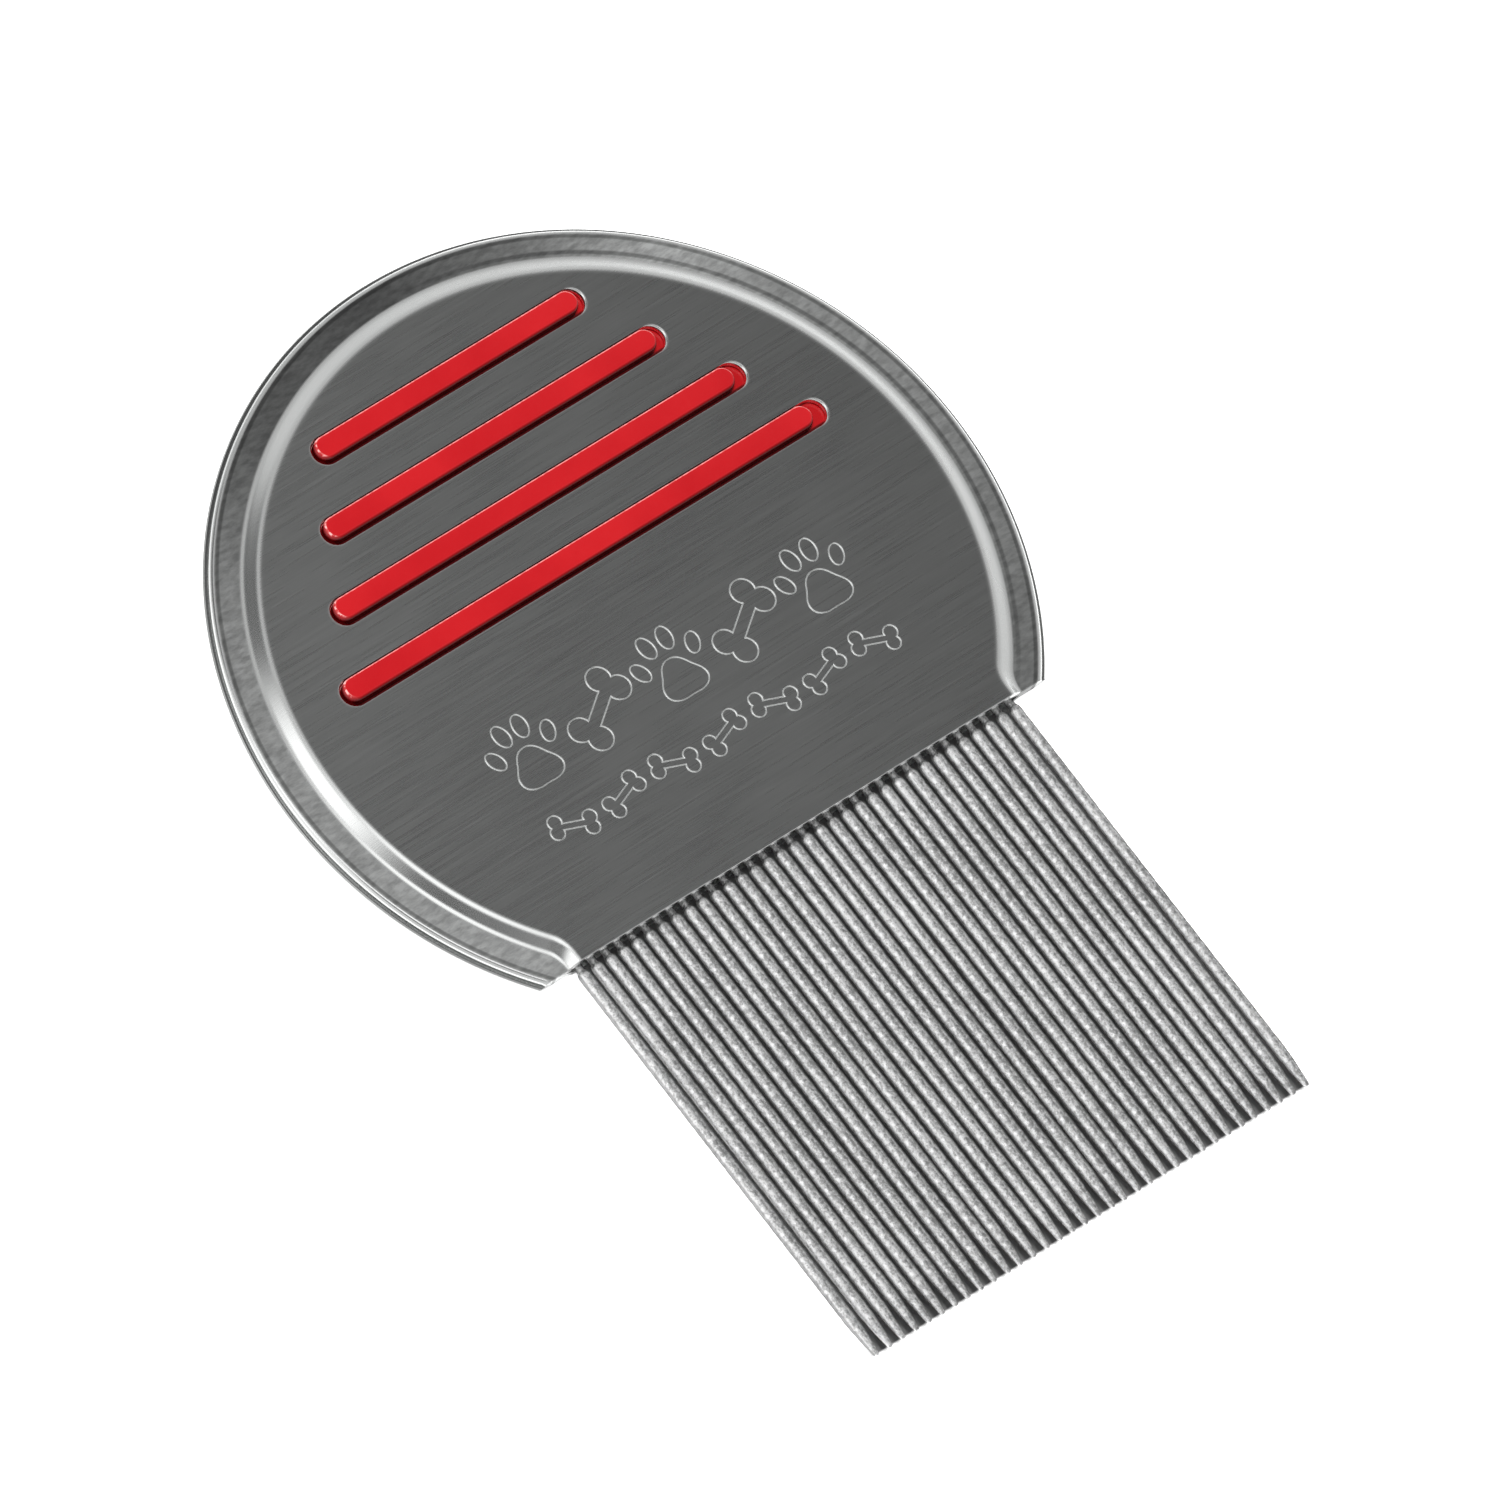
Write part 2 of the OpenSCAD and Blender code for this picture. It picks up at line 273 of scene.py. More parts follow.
def shell(radius, engraved):
    """A pressed sheet shell: face, sloping band, flange, rounded edge, slots and open mouth."""
    b = Build()
    rows = []

    def row(radius_at, height, drop=0.0):
        x, y = outline_row(radius_at)
        z = np.full(x.shape, float(height))
        z[0] -= drop
        z[-1] -= drop
        rows.append(b.add(list(zip(x, y, z))))

    def level_row(level, below=0.0, drop=0.0):
        row(lambda p: level_radius(p, level), float(skin(level)) - below, drop)

    def round_row(r, height, drop=0.0):
        row(lambda p: np.full(np.shape(p), r), height, drop)

    # over the top and down the rim, then back along the underside
    for level in [-FACE_INSET, -0.1] + slope_levels(6, 4) + [SLOPE + 0.12]:
        level_row(level, drop=CHAMFER)
    for turn in RIM_TURNS:
        s = math.radians(turn)
        round_row(radius - EDGE_R + EDGE_R * math.sin(s), SHEET - EDGE_R + EDGE_R * math.cos(s),
                  CHAMFER * math.cos(s))
    round_row(radius, SEAM_H)
    round_row(radius - SEAM_BEVEL, 0.0)
    for level in slope_levels(3, 2)[::-1] + [-FACE_INSET]:
        level_row(level, below=SHEET)
    for a, c in zip(rows[:-1], rows[1:]):
        b.strip(a, c)
    top_holes, low_holes = zip(*[slot_rings(b, half, y) for half, y in SLOTS])
    cuts, lines = [], []
    if engraved:
        for outer, inner in engraving():
            mid = [((p[0] + q[0]) / 2, (p[1] + q[1]) / 2) for p, q in zip(outer, inner)]
            lo = b.add([(x, y, FACE_H) for x, y in outer])
            lm = b.add([(x, y, FACE_H - LINE_DEPTH) for x, y in mid])
            li = b.add([(x, y, FACE_H) for x, y in inner])
            b.strip(lo, lm, closed=True)
            b.strip(lm, li, closed=True)
            cuts += [lo, li]
            lines.append((outer, inner))

    def solid_at(poly, holes, marks):
        def test(x, y):
            if not in_polygon(x, y, poly):
                return False
            if any(in_polygon(x, y, h) for h in holes):
                return False
            return not any(in_polygon(x, y, o) and not in_polygon(x, y, i) for o, i in marks)
        return test

    def flat(ids):
        return [(b.co[v][0], b.co[v][1]) for v in ids]

    # raised face, with the chamfer strip along the mouth kept as its own line
    inner = rows[0]
    body = inner[1:-1]
    b.fill([body] + list(top_holes) + cuts, solid_at(flat(body), [flat(h) for h in top_holes], lines))
    b.faces.append((inner[0], inner[1], inner[-2], inner[-1]))
    under = rows[-1]
    body = under[1:-1]
    b.fill([body] + list(low_holes), solid_at(flat(body), [flat(h) for h in low_holes], []))
    b.faces.append((under[0], under[-1], under[-2], under[1]))
    # cut end of the sheet at the mouth
    ends = [r[0] for r in rows] + [r[-1] for r in reversed(rows)]
    poly = [(b.co[v][0], b.co[v][2]) for v in ends]
    b.fill([ends], lambda x, z: in_polygon(x, z, poly), flat=(0, 2))
    return b


# ----------------------------------------------------------------- engraving
# Each engraved line is a pair of closed outlines with the same number of points.
def ring_pair(rx, ry, n):
    def oval(a, b):
        turns = [2 * math.pi * i / n for i in range(n)]
        return [(a * math.cos(t), b * math.sin(t)) for t in turns]
    return oval(rx, ry), oval(rx - LINE_W, ry - LINE_W)


def turned(pair, deg, dx, dy):
    c, s = math.cos(math.radians(deg)), math.sin(math.radians(deg))
    return tuple([(c * x - s * y + dx, s * x + c * y + dy) for x, y in p] for p in pair)


def paw(h, dx, dy):
    """One pad and four toes, h high; the numbers below are for a paw 6.4 mm high."""
    k = h / 6.4
    n = 48
    out, inn = [], []
    for i in range(n):
        a = 2 * math.pi * i / n
        r = 1.75 * k * (1 + 0.13 * math.cos(3 * (a - math.pi / 2)))
        out.append((1.12 * r * math.cos(a), r * math.sin(a)))
        inn.append(((1.12 * r - LINE_W) * math.cos(a), (r - LINE_W) * math.sin(a)))
    pairs = [turned((out, inn), 0, dx, dy - 1.35 * k)]
    for s in (-1, 1):
        pairs.append(turned(ring_pair(0.72 * k, 1.08 * k, 28), -s * 8,
                            dx + s * 0.88 * k, dy + 2.05 * k))
        pairs.append(turned(ring_pair(0.68 * k, 1.0 * k, 28), -s * 24,
                            dx + s * 2.5 * k, dy + 0.65 * k))
    return pairs


def bone_outline(l, s, r, w, n):
    """Four knobs of radius r at (+-l, +-s), joined by a shaft of half width w."""
    a0 = -math.asin(s / r)
    a1 = math.pi + math.asin((s - w) / r)
    pts = []
    for cx, cy, b0, b1 in ((l, s, a0, a1), (-l, s, math.pi - a1, math.pi - a0),
                           (-l, -s, math.pi + a0, math.pi + a1), (l, -s, -a1, -a0)):
        for i in range(n + 1):
            a = b0 + (b1 - b0) * i / n
            pts.append((cx + r * math.cos(a), cy + r * math.sin(a)))
    return pts


def bone(w, deg, dx, dy, n):
    """A bone w long, turned by deg."""
    k = w / 7
    r = 1.15 * k
    s = min(0.82 * k, 0.9 * (r - LINE_W))
    pair = (bone_outline(2.35 * k, s, r, 0.62 * k, n),
            bone_outline(2.35 * k, s, r - LINE_W, 0.62 * k - LINE_W, n))
    return turned(pair, deg, dx, dy)


def dedupe(pair):
    """Drops points that coincide with their neighbour in either outline."""
    out, inn = [], []
    for p, q in zip(*pair):
        if out and (math.dist(p, out[-1]) < 1e-6 or math.dist(q, inn[-1]) < 1e-6):
            continue
        out.append(p)
        inn.append(q)
    if math.dist(out[0], out[-1]) < 1e-6 or math.dist(inn[0], inn[-1]) < 1e-6:
        out.pop()
        inn.pop()
    return out, inn


def engraving():
    """A row of paws and bones above a row of small bones."""
    pairs = []
    for x in (-14.4, 0, 14.4):
        pairs += paw(6.6, x, -5.4)
    for x in (-7.2, 7.2):
        pairs.append(bone(7, 35, x, -5.4, 16))
    for i in range(-3, 4):
        pairs.append(bone(4.3, 20 if i % 2 == 0 else -20, i * 5, -12.1, 12))
    return [dedupe(p) for p in pairs]


# ---------------------------------------------------------------- grip insert
WEB_R, WEB_Y, WEB_H = 27.2, 2.6, 0.6    # the hidden web: radius, straight edge, half thickness
RIB_W = 2.0
RIB_SHIFT = 0.12         # ribs sit toward +Y in their slots
RIB_PROUD, RIB_SUNK = 0.2, 0.06         # above the front face, below the back face
RIB_STEPS = 8            # steps in a rib's rounded edge


def rib_span(i):
    """The ends of a rib, which leave more room at +X in the lower slots."""
    half = SLOTS[i][0]
    return -half + 0.25, half - 0.5 - 0.25 * (3 - i)


def rib_round(nx, ny):
    """Edge radius of a rib where its outline faces (nx, ny): rounder toward -Y and at the -X end."""
    return 0.26 - 0.10 * ny - 0.08 * nx + 0.08 * max(-nx, 0) ** 2


def insert_side(b, top):
    """One side of the insert as a surface patch up to its outline; returns the outline ids."""
    a0 = math.asin(WEB_Y / WEB_R)
    arc = [(WEB_R * math.cos(a), WEB_R * math.sin(a))
           for a in np.linspace(a0, math.pi - a0, 120)]
    edge = b.add([(x, y, WEB_H) for x, y in arc])
    holes = []
    for i in range(len(SLOTS)):
        x0, x1 = rib_span(i)
        y = SLOTS[i][1] + RIB_SHIFT
        wall = stadium(x0, x1, y, RIB_W, 0, 14)
        wide = stadium(x0, x1, y, RIB_W, 1, 14)
        away = [(qx - px, qy - py) for (px, py), (qx, qy) in zip(wall, wide)]
        loops = [b.add([(px + g * nx, py + g * ny, z) for (px, py), (nx, ny) in zip(wall, away)])
                 for g, z in ((0.04, WEB_H), (0.01, WEB_H + 0.03), (0.0, WEB_H + 0.1))]
        for k in range(RIB_STEPS + 1):
            t = math.radians(90 * k / RIB_STEPS)
            pts = []
            for (px, py), (nx, ny) in zip(wall, away):
                r = rib_round(nx, ny)
                g = -r * (1 - math.cos(t))
                pts.append((px + g * nx, py + g * ny, top - r * (1 - math.sin(t))))
            loops.append(b.add(pts))
        for a, c in zip(loops[:-1], loops[1:]):
            b.strip(a, c, closed=True)
        b.faces.append(tuple(loops[-1]))
        holes.append(loops[0])
    poly = [(b.co[v][0], b.co[v][1]) for v in edge]
    cut = [[(b.co[v][0], b.co[v][1]) for v in h] for h in holes]
    b.fill([edge] + holes, lambda px, py: in_polygon(px, py, poly)
           and not any(in_polygon(px, py, h) for h in cut))
    return edge


def grip_insert():
    """The one-piece insert: the web with ribs on both sides."""
    b = Build()
    up = insert_side(b, FACE_H + RIB_PROUD)
    lower = Build()
    low = insert_side(lower, FACE_H - RIB_SUNK)
    start = len(b.co)
    b.co += [(x, y, -z) for x, y, z in lower.co]
    b.faces += [tuple(v + start for v in reversed(f)) for f in lower.faces]
    low = [v + start for v in low]
    b.strip(up, low, closed=True)
    return b


# ----------------------------------------------------------------------- teeth
def tooth(k, rng):
    """A round wire tooth with a rolled spiral groove, a plain shank and a tapered tip."""
    b = Build()
    x0 = (k - (TEETH + 1) / 2) * PITCH
    seg = 20
    phase = 2 * math.pi * (k * SPIRAL_STEP + rng.uniform(-0.03, 0.03))
    lean = rng.uniform(-0.06, 0.06)
    bow = rng.uniform(-0.035, 0.035)
    s_list = [-SHANK_IN, -SHANK_IN + 0.08, 0.0, NECK_L]
    s_list += list(np.linspace(NECK_L + 0.06, NECK_L + SHOULDER_L, 6))
    s_list += list(np.arange(NECK_L + SHOULDER_L + 0.1, TOOTH_L - TAPER, 0.165))
    s_list += list(np.linspace(TOOTH_L - TAPER, TOOTH_L - TIP_R, 14))
    s_list += [TOOTH_L - TIP_R + TIP_R * math.sin(math.radians(a)) for a in (25, 50, 70, 84)]
    rings = []
    for s in s_list:
        if s <= NECK_L:
            r = SHANK_R
        elif s < NECK_L + SHOULDER_L:
            u = (s - NECK_L) / SHOULDER_L
            r = SHANK_R + (TOOTH_R - SHANK_R) * math.sin(u * math.pi / 2)
        elif s < TOOTH_L - TAPER:
            r = TOOTH_R
        elif s <= TOOTH_L - TIP_R:
            u = (s - TOOTH_L + TAPER) / (TAPER - TIP_R)
            r = TOOTH_R + (TIP_R - TOOTH_R) * (0.35 * u + 0.65 * u * u)
        else:
            q = (s - TOOTH_L + TIP_R) / TIP_R
            r = TIP_R * math.sqrt(max(1 - q * q, 0.0))
        depth = GROOVE if NECK_L + SHOULDER_L < s < TOOTH_L - 1.2 else 0.0
        u = s / TOOTH_L
        off = (lean * u * u + bow * math.sin(math.pi * max(u, 0))) * (1 if s > 0 else 0)
        pts = []
        for j in range(seg):
            a = 2 * math.pi * j / seg
            g = 0.5 + 0.5 * math.cos(a - 2 * math.pi * s / SPIRAL - phase)
            rr = r - depth * g ** 6
            pts.append((x0 + off + rr * math.cos(a), MOUTH_Y - s, rr * math.sin(a)))
        rings.append(b.add(pts))
    for a, c in zip(rings[:-1], rings[1:]):
        b.strip(a, c, closed=True)
    b.faces.append(tuple(rings[0]))
    tip = b.add([(x0 + lean, MOUTH_Y - TOOTH_L, 0)])[0]
    last = rings[-1]
    for j in range(seg):
        b.faces.append((last[j], last[(j + 1) % seg], tip))
    return b


# ------------------------------------------------------------------- materials
FACE_TONE = (0.42, 0.478)       # darkest and lightest reflectance of the brushed face
SLOPE_TONE = (0.80, 0.88)       # and of the sloping band and the rim
STEEL_CAST = (0.985, 1.0, 0.99)
BARE_STEEL = 0.97
RIM_FROM = 0.0324               # radius in m where the rounded rim starts
CREASE_IN, CREASE_OUT = 0.03078, 0.03215    # radii in m of the creases beside the flange
# strength of the painted shade in those creases
CREASE_SHADE = 0.45
SPIRAL_GLINT_START = 10.1               # phase of the painted highlights on the teeth, in turns of the spiral
# reflectance of the scuffed flange, with painted light and shade at stations round the handle: (part
# of a turn, tone)
FLANGE_TONES = [(0.15, 0.78), (0.25, 0.66), (0.33, 0.56), (0.41, 0.24), (0.50, 0.17),
                (0.56, 0.40), (0.62, 0.86), (0.67, 0.58), (0.75, 0.52), (0.84, 0.38)]


def new_material(name):
    """A material with an empty Principled shader, its node tree and that shader."""
    m = bpy.data.materials.new(name)
    m.use_nodes = True
    nt = m.node_tree
    nt.nodes.clear()
    out = nt.nodes.new("ShaderNodeOutputMaterial")
    bsdf = nt.nodes.new("ShaderNodeBsdfPrincipled")
    nt.links.new(bsdf.outputs[0], out.inputs[0])
    return m, nt, bsdf


class Nodes:
    """Short helpers for wiring shader nodes."""

    def __init__(self, nt):
        self.nt = nt

    def put(self, socket, value):
        if isinstance(value, bpy.types.NodeSocket):
            self.nt.links.new(value, socket)
        elif value is not None:
            socket.default_value = value

    def node(self, kind, **props):
        n = self.nt.nodes.new(kind)
        for k, v in props.items():
            setattr(n, k, v)
        return n

    def coords(self):
        return self.node("ShaderNodeTexCoord").outputs["Object"]

    def normal(self):
        return self.node("ShaderNodeNewGeometry").outputs["Normal"]

    def axes(self, vec):
        n = self.node("ShaderNodeSeparateXYZ")
        self.put(n.inputs[0], vec)
        return n.outputs[0], n.outputs[1], n.outputs[2]

    def scaled(self, vec, scale, rot=(0, 0, 0), loc=(0, 0, 0)):
        n = self.node("ShaderNodeMapping")
        self.put(n.inputs["Vector"], vec)
        n.inputs["Scale"].default_value = scale
        n.inputs["Rotation"].default_value = rot
        n.inputs["Location"].default_value = loc
        return n.outputs[0]

    def noise(self, vec, scale, detail=3.0, rough=0.55):
        n = self.node("ShaderNodeTexNoise")
        self.put(n.inputs["Vector"], vec)
        n.inputs["Scale"].default_value = scale
        n.inputs["Detail"].default_value = detail
        n.inputs["Roughness"].default_value = rough
        return n.outputs["Fac"]

    def math(self, op, a, b=None):
        n = self.node("ShaderNodeMath", operation=op)
        self.put(n.inputs[0], a)
        if b is not None:
            self.put(n.inputs[1], b)
        return n.outputs[0]

    def product(self, first, *others):
        for v in others:
            first = self.math("MULTIPLY", first, v)
        return first

    def weigh(self, *parts):
        """Sum of values times their weights."""
        terms = [self.math("MULTIPLY", v, share) for v, share in parts]
        total = terms[0]
        for term in terms[1:]:
            total = self.math("ADD", total, term)
        return total

    def inverse(self, v):
        return self.math("SUBTRACT", 1.0, v)

    def blend(self, fac, a, b):
        """a where fac is 0, b where fac is 1."""
        return self.math("ADD", self.math("MULTIPLY", b, fac),
                         self.math("MULTIPLY", a, self.inverse(fac)))

    def near(self, v, centre, outer, inner, c=0.0, d=1.0):
        """d where v lies within inner of centre, turning to c at outer."""
        off = self.math("ABSOLUTE", self.math("SUBTRACT", v, centre))
        return self.span(off, outer, inner, c, d)

    def span(self, v, a, b, c=0.0, d=1.0):
        """v mapped from the range a..b to c..d, and held there beyond it."""
        n = self.node("ShaderNodeMapRange")
        n.clamp = True
        self.put(n.inputs["Value"], v)
        for key, val in (("From Min", a), ("From Max", b), ("To Min", c), ("To Max", d)):
            self.put(n.inputs[key], val)
        return n.outputs[0]

    def tinted(self, tone, cast):
        """A colour from one tone and a factor for each channel."""
        n = self.node("ShaderNodeCombineColor")
        for socket, factor in zip(n.inputs, cast):
            self.put(socket, self.math("MULTIPLY", tone, factor))
        return n.outputs[0]

    def mix(self, fac, a, b):
        n = self.node("ShaderNodeMix", data_type="RGBA")
        self.put(n.inputs[0], fac)
        self.put(n.inputs[6], a)
        self.put(n.inputs[7], b)
        return n.outputs[2]

    def ramp(self, fac, stops):
        n = self.node("ShaderNodeValToRGB")
        self.put(n.inputs[0], fac)
        marks = n.color_ramp.elements
        while len(marks) < len(stops):
            marks.new(0.5)
        for mark, (place, tone) in zip(marks, stops):
            mark.position = place
            mark.color = (tone, tone, tone, 1)
        return n.outputs[0]

    def bump(self, height, strength, distance):
        n = self.node("ShaderNodeBump")
        n.inputs["Strength"].default_value = strength
        n.inputs["Distance"].default_value = distance
        self.put(n.inputs["Height"], height)
        return n.outputs[0]


def shell_material(name, seed, rim_shade):
    """Brushed sheet steel: straight grain on the face, a smooth slope and a scuffed flange."""
    m, nt, bsdf = new_material(name)
    g = Nodes(nt)
    co = g.coords()
    x, y, z = g.axes(co)
    flat = g.node("ShaderNodeCombineXYZ")
    g.put(flat.inputs[0], x)
    g.put(flat.inputs[1], y)
    length = g.node("ShaderNodeVectorMath", operation="LENGTH")
    g.put(length.inputs[0], flat.outputs[0])
    radius = length.outputs["Value"]
    station = g.span(g.math("ARCTAN2", x, y), -math.pi, math.pi)
    rise = g.math("ABSOLUTE", g.math("SUBTRACT", z, SEAM_Z * MM))

    fine = g.noise(g.scaled(co, (150, 10000, 900), loc=(seed, 0, 0)), 1.0, 2.0, 0.6)
    streak = g.noise(g.scaled(co, (55, 5200, 300), loc=(0, seed, 0)), 1.0, 3.0, 0.6)
    cloud = g.noise(co, 45.0, 3.0, 0.5)
    across = g.scaled(co, (900, 2600, 900), rot=(0, 0, 0.9), loc=(seed, 0, 0))
    scuff = g.noise(across, 1.0, 4.0, 0.65)
    grain = g.weigh((fine, 0.85), (streak, 0.15))

    # where on the pressing a point lies
    face, sheet, top = FACE_H * MM, SHEET * MM, (SEAM_Z + FACE_H) * MM
    on_face = g.span(rise, face - 50 * UM, face - 8 * UM)
    on_flange = g.product(g.span(rise, sheet + 25 * UM, sheet + 3 * UM),
                          g.span(radius, RIM_FROM, RIM_FROM - 100 * UM))
    on_rim = g.span(radius, RIM_FROM, RIM_FROM + 200 * UM)
    engraved = g.product(g.span(y, 0.0035, 0.0030), g.span(radius, 0.0232, 0.0230),
                         g.span(z, top - 240 * UM, top - 190 * UM))
    in_groove = g.product(engraved, g.span(z, top - 2 * UM, top - 10 * UM))
    in_bottom = g.product(engraved, g.span(z, top - 25 * UM, top - 40 * UM))

    tint = g.weigh((grain, 0.6), (cloud, 0.4))
    # painted light: the face is lighter toward -X and darker toward +X
    face_tone = g.product(g.span(tint, 0.3, 0.7, *FACE_TONE),
                          g.span(x, -0.028, 0.028, 1.14, 0.84))
    slope_tone = g.span(cloud, 0.3, 0.7, *SLOPE_TONE)
    # painted shade in the creases along both borders of the flange
    inner = g.product(g.near(radius, CREASE_IN, 240 * UM, 100 * UM, 0.0, CREASE_SHADE),
                      g.span(station, 0.50, 0.56), g.span(station, 0.90, 0.80))
    outer = g.near(radius, CREASE_OUT, 200 * UM, 80 * UM, 0.0, CREASE_SHADE)
    # painted light and shade: the flange tone changes round the handle
    flange_tone = g.product(g.ramp(station, FLANGE_TONES), g.span(scuff, 0.35, 0.65, 0.82, 1.18),
                            g.inverse(g.math("MAXIMUM", inner, outer)))
    tone = g.blend(on_flange, g.blend(on_face, slope_tone, face_tone), flange_tone)
    # painted shade darkens the upper walls of the engraved lines; their bottoms take the lightest
    # tone
    tone = g.blend(in_bottom, g.blend(in_groove, tone, 0.12), 1.0)
    # painted shade darkens the rounded rim, most on the upper left, and a thin painted shadow marks
    # the seam between the two shells
    rim_shading = g.near(station, 0.43, 0.12, 0.05, rim_shade, 0.34)
    seam = g.span(rise, 160 * UM, 100 * UM, 0.0, 0.35)
    tone = g.product(tone, g.inverse(g.product(on_rim, rim_shading)), g.inverse(g.product(on_rim, seam)))
    g.put(bsdf.inputs["Base Color"], g.tinted(tone, STEEL_CAST))
    bsdf.inputs["Metallic"].default_value = 1.0

    rough_face = g.span(g.weigh((grain, 0.7), (cloud, 0.3)), 0.3, 0.7, 0.24, 0.34)
    rough_slope = g.span(cloud, 0.3, 0.7, 0.20, 0.28)
    rough_flange = g.span(scuff, 0.3, 0.7, 0.38, 0.52)
    rough = g.blend(on_flange, g.blend(on_face, rough_slope, rough_face), rough_flange)
    g.put(bsdf.inputs["Roughness"], g.blend(in_groove, rough, 0.42))
    g.put(bsdf.inputs["Normal"], g.bump(g.blend(on_flange, grain, scuff), 0.12, 20 * UM))
    return m


def wire_material(name):
    """Satin steel wire: specks, painted highlights along the spiral and painted shade on the flanks.
    """
    m, nt, bsdf = new_material(name)
    g = Nodes(nt)
    co = g.coords()
    x, y, _ = g.axes(co)
    nx, _, nz = g.axes(g.normal())
    fine = g.noise(g.scaled(co, (4200, 2600, 4200)), 1.0, 2.0, 0.6)
    spots = g.noise(g.scaled(co, (6500, 5500, 6500)), 1.0, 1.0, 0.7)
    cloud = g.noise(co, 120.0, 2.0, 0.5)

    # painted highlights where the rolled spiral comes round to the upper left of each tooth
    number = g.math("FLOOR", g.math("ADD", g.math("DIVIDE", x, PITCH * MM), TEETH / 2 + 1))
    along = g.math("DIVIDE", g.math("SUBTRACT", MOUTH_Y * MM, y), SPIRAL * MM)
    start = g.math("ADD", g.math("MULTIPLY", number, SPIRAL_STEP), SPIRAL_GLINT_START)
    turn = g.math("FRACT", g.math("ADD", along, start))
    mark = g.product(g.near(turn, 0.5, 0.13, 0.04), g.near(nx, -0.62, 0.34, 0.12),
                     g.span(spots, 0.38, 0.55, 0.25, 1.0))

    # painted shade on both flanks and on the free side of the first tooth
    right = g.span(nx, 0.26, 0.68, 1.0, 0.22)
    left = g.product(g.span(nx, -0.80, -0.90), g.span(nz, 0.10, -0.15, 0.0, 0.7))
    free = g.product(g.math("LESS_THAN", number, 1.5), g.span(nx, -0.74, -0.90, 0.0, 0.62))
    unshaded = g.product(right, g.inverse(left), g.inverse(free))

    speck = g.weigh((fine, 0.5), (spots, 0.3), (cloud, 0.2))
    # painted light: the teeth are lighter where they face -X
    tone = g.math("ADD", g.span(speck, 0.42, 0.58, 0.44, 0.98),
                  g.span(nx, -0.45, -0.90, 0.0, 0.22))
    tone = g.product(g.math("MINIMUM", tone, 1.0), unshaded)
    tone = g.blend(mark, tone, 1.0)
    # painted shade and highlights show directly; reflections between neighbours meet the bare steel
    straight = g.node("ShaderNodeLightPath").outputs["Is Camera Ray"]
    g.put(bsdf.inputs["Base Color"], g.tinted(g.blend(straight, BARE_STEEL, tone), (1, 1, 1)))
    bsdf.inputs["Metallic"].default_value = 1.0
    polish = g.math("MULTIPLY", mark, 0.14)
    g.put(bsdf.inputs["Roughness"],
          g.math("SUBTRACT", g.span(spots, 0.3, 0.7, 0.36, 0.52), polish))
    g.put(bsdf.inputs["Normal"], g.bump(g.weigh((fine, 0.5), (spots, 0.5)), 0.8, 50 * UM))
    return m


def plastic_material(name):
    """Red moulded plastic: flow clouds, moulding texture, painted shade on the lower sides and
    painted highlights on the edges.
    """
    m, nt, bsdf = new_material(name)
    g = Nodes(nt)
    co = g.coords()
    _, y, z = g.axes(co)
    nx, ny, nz = g.axes(g.normal())
    cloud = g.noise(co, 140.0, 3.0, 0.5)
    grain = g.noise(co, 2600.0, 2.0, 0.5)

    # painted shade: on walls, on the sides toward -Y and -X, and in the gap along each rib
    row = g.math("FRACT", g.math("ADD", g.math("DIVIDE", y, SLOT_PITCH * MM),
                                 2.5 - SLOT_Y / SLOT_PITCH))
    gap = g.product(g.span(row, 0.5 - 0.80 / SLOT_PITCH, 0.5 - 0.92 / SLOT_PITCH),
                    g.span(y, 0.0035, 0.0040))
    shade = g.span(g.math("ABSOLUTE", nz), 0.50, 0.15)
    for other in (g.span(ny, -0.18, -0.80), g.span(nx, -0.45, -0.90, 0.0, 0.75), gap):
        shade = g.math("MAXIMUM", shade, other)
    # painted shade: the web between the ribs lies deeper and is painted darker
    rise = g.math("ABSOLUTE", g.math("SUBTRACT", z, SEAM_Z * MM))
    deep = g.span(rise, 0.00108, 0.00088, 0.0, 0.75)
    # painted highlights on the edges toward +Y and +X, and glints painted on the bend of the -X ends
    lit_edge = g.product(g.span(g.weigh((ny, 0.85), (nx, 0.5)), 0.14, 0.32),
                     g.span(nz, 0.20, 0.40), g.span(grain, 0.35, 0.62, 0.35, 0.9))
    glint = g.product(g.span(nx, -0.16, -0.30), g.span(nx, -0.64, -0.48),
                      g.span(ny, -0.40, -0.15), g.span(grain, 0.44, 0.56, 0.05, 0.9))

    col = g.mix(g.span(cloud, 0.3, 0.7), (0.40, 0.006, 0.010, 1), (0.47, 0.010, 0.014, 1))
    for amount, tint in ((deep, (0.31, 0.003, 0.005, 1)), (shade, (0.065, 0.001, 0.0015, 1)),
                         (lit_edge, (1.0, 0.33, 0.32, 1)), (glint, (1.0, 0.50, 0.48, 1))):
        col = g.mix(amount, col, tint)
    g.put(bsdf.inputs["Base Color"], col)
    g.put(bsdf.inputs["Roughness"], g.span(grain, 0.3, 0.7, 0.16, 0.24))
    g.put(bsdf.inputs["Normal"], g.bump(g.weigh((cloud, 0.7), (grain, 0.3)), 0.25, 50 * UM))
    return m


def bar_material(name):
    """Plain machined bar steel with turning marks."""
    m, nt, bsdf = new_material(name)
    g = Nodes(nt)
    marks = g.noise(g.scaled(g.coords(), (3200, 180, 900)), 1.0, 3.0, 0.6)
    tint = g.mix(g.span(marks, 0.3, 0.7), (0.3, 0.3, 0.31, 1), (0.48, 0.48, 0.49, 1))
    g.put(bsdf.inputs["Base Color"], tint)
    bsdf.inputs["Metallic"].default_value = 1.0
    g.put(bsdf.inputs["Roughness"], g.span(marks, 0.3, 0.7, 0.35, 0.55))
    g.put(bsdf.inputs["Normal"], g.bump(marks, 0.3, 40 * UM))
    return m


